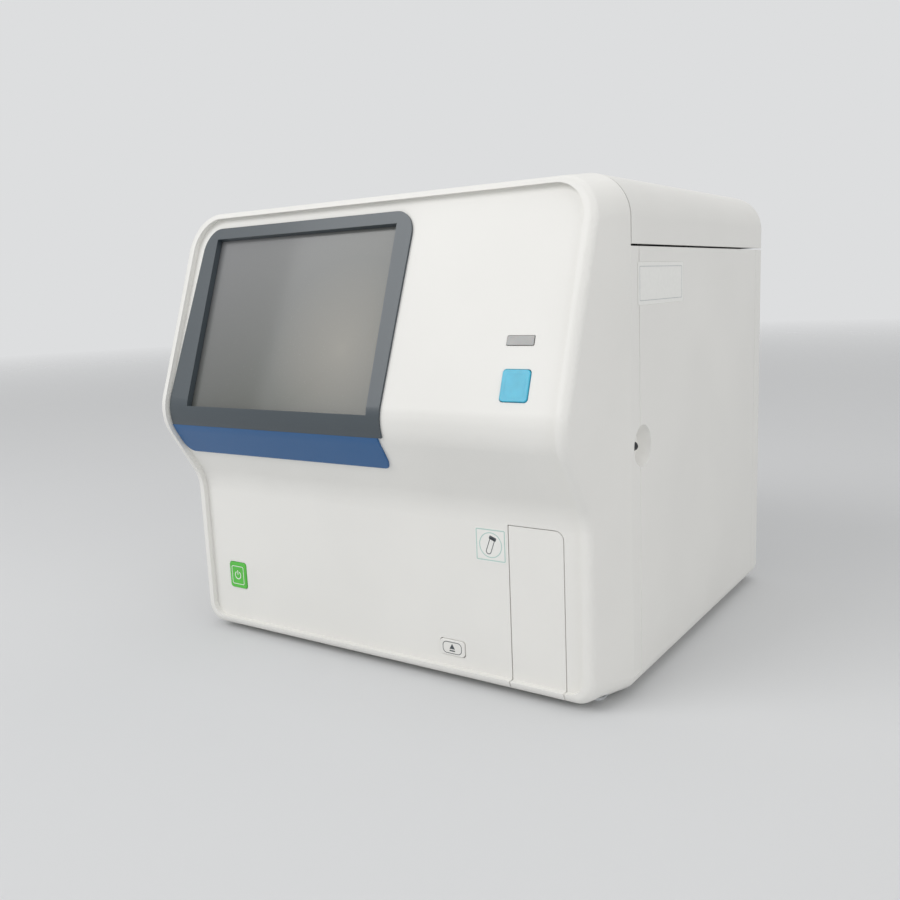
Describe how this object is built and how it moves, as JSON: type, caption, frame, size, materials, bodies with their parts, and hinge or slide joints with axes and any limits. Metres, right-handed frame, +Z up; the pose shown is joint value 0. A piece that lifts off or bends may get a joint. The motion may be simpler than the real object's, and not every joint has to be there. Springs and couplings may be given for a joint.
{
  "type": "hematology analyzer",
  "caption": "Bench-top blood cell analyzer: moulded housing with a sloped touch display, a slide-out sample tube drawer and a hinged top lid over its fluidics.",
  "frame": {"origin": "on the table, under the middle of the box that holds the analyzer", "axes": "+X to the right as seen from the front, +Y to the rear, +Z up; the display faces -Y"},
  "size_m": [0.45, 0.427, 0.406],
  "materials": {
    "cover_white": "fine moulded texture",
    "bezel_slate": "semi-gloss",
    "trim_blue": "semi-gloss",
    "display_glass": "dark touch panel",
    "start_cyan": "satin",
    "power_green": "satin, lit from behind",
    "key_white": "satin",
    "lens_grey": "diffusing lens",
    "dark_plastic": "moulded",
    "chassis_steel": "zinc-plated sheet",
    "bright_steel": "polished",
    "machined_aluminium": "anodised",
    "clear_plastic": "clear acrylic",
    "grey_plastic": "moulded",
    "black_rubber": "matt",
    "circuit_board": "solder mask"
  },
  "bodies": {
    "housing": {"base_plate": "chassis_steel", "bulkhead": "chassis_steel", "count_detector": "grey_plastic", "cover_screw": "bright_steel", "data_ports": "dark_plastic", "diaphragm_pumps": "dark_plastic", "display_bezel": "bezel_slate", "display_glass": "display_glass", "display_module": "chassis_steel", "drawer_rail": "bright_steel", "fan_frame": "dark_plastic", "fan_guard": "bright_steel", "flow_cell": "clear_plastic", "fluid_nipples": "grey_plastic", "foot_screws": "bright_steel", "front_cover": "cover_white", "hinge_brackets": "chassis_steel", "hinge_pins": "bright_steel", "laser_module": "machined_aluminium", "left_frame": "chassis_steel", "left_side_panel": "cover_white", "lid_bumpers": "black_rubber", "light_detector": "machined_aluminium", "main_board": "circuit_board", "mixing_chambers": "clear_plastic", "nose_trim": "trim_blue", "optical_bench": "machined_aluminium", "piercer_column": "chassis_steel", "power_entry": "dark_plastic", "power_supply": "chassis_steel", "reagent_cartridges": "grey_plastic", "reagent_holder": "grey_plastic", "rear_cover": "cover_white", "rear_panel": "chassis_steel", "right_frame": "chassis_steel", "right_side_panel": "cover_white", "rinse_cup": "clear_plastic", "rubber_feet": "black_rubber", "solenoid_valves": "dark_plastic", "status_lens": "lens_grey", "stepper_motors": "dark_plastic", "switch_bodies": "dark_plastic", "syringe_barrel": "clear_plastic", "syringe_frame": "chassis_steel", "top_deck": "chassis_steel", "valve_manifold": "clear_plastic", "waste_chamber": "clear_plastic"},
    "lid": {"top_lid": "cover_white"},
    "start_key": {"start_button": "start_cyan"},
    "power_key": {"power_button": "power_green"},
    "eject_key": {"eject_button": "key_white"},
    "rocker": {"main_rocker": "dark_plastic"},
    "tube_drawer": {"tube_door": "cover_white", "drawer_carriage": "machined_aluminium", "tube_holder": "grey_plastic"},
    "piercer": {"piercer_carriage": "machined_aluminium", "sample_needle": "bright_steel"},
    "lead_screw": {"piercer_screw": "bright_steel"},
    "plunger": {"syringe_plunger": "grey_plastic"},
    "rotor": {"fan_rotor": "dark_plastic"}
  },
  "joints": [
    {"name": "lid_hinge", "type": "hinge", "parent": "housing", "child": "lid", "pos_m": [0, 0.2085, 0.3582], "axis": [-1, 0, 0], "range_deg": [0, 70]},
    {"name": "start_press", "type": "slide", "parent": "housing", "child": "start_key", "axis": [0, 0.9385, -0.3453], "range_m": [0, 0.002], "stiffness_N_per_m": 400},
    {"name": "power_press", "type": "slide", "parent": "housing", "child": "power_key", "axis": [0, 1, 0], "range_m": [0, 0.002], "stiffness_N_per_m": 400},
    {"name": "eject_press", "type": "slide", "parent": "housing", "child": "eject_key", "axis": [0, 1, 0], "range_m": [0, 0.002], "stiffness_N_per_m": 400},
    {"name": "rocker_tilt", "type": "hinge", "parent": "housing", "child": "rocker", "pos_m": [-0.12, 0.195, 0.116], "axis": [1, 0, 0], "range_deg": [0, 20]},
    {"name": "tube_drawer", "type": "slide", "parent": "housing", "child": "tube_drawer", "axis": [0, -1, 0], "range_m": [0, 0.08]},
    {"name": "piercer_slide", "type": "slide", "parent": "housing", "child": "piercer", "axis": [0, 0, -1], "range_m": [0, 0.085]},
    {"name": "screw_turn", "type": "hinge", "parent": "housing", "child": "lead_screw", "pos_m": [0.1766, -0.114, 0.22], "axis": [0, 0, 1], "range_deg": [0, 1531]},
    {"name": "plunger_slide", "type": "slide", "parent": "housing", "child": "plunger", "axis": [0, 0, 1], "range_m": [0, 0.04]},
    {"name": "rotor_spin", "type": "hinge", "parent": "housing", "child": "rotor", "pos_m": [0.105, 0.1845, 0.22], "axis": [0, 1, 0], "continuous": true}
  ],
  "couplings": [
    {"joint": "screw_turn", "follows": "piercer_slide", "rad_per_m": 314.16}
  ]
}
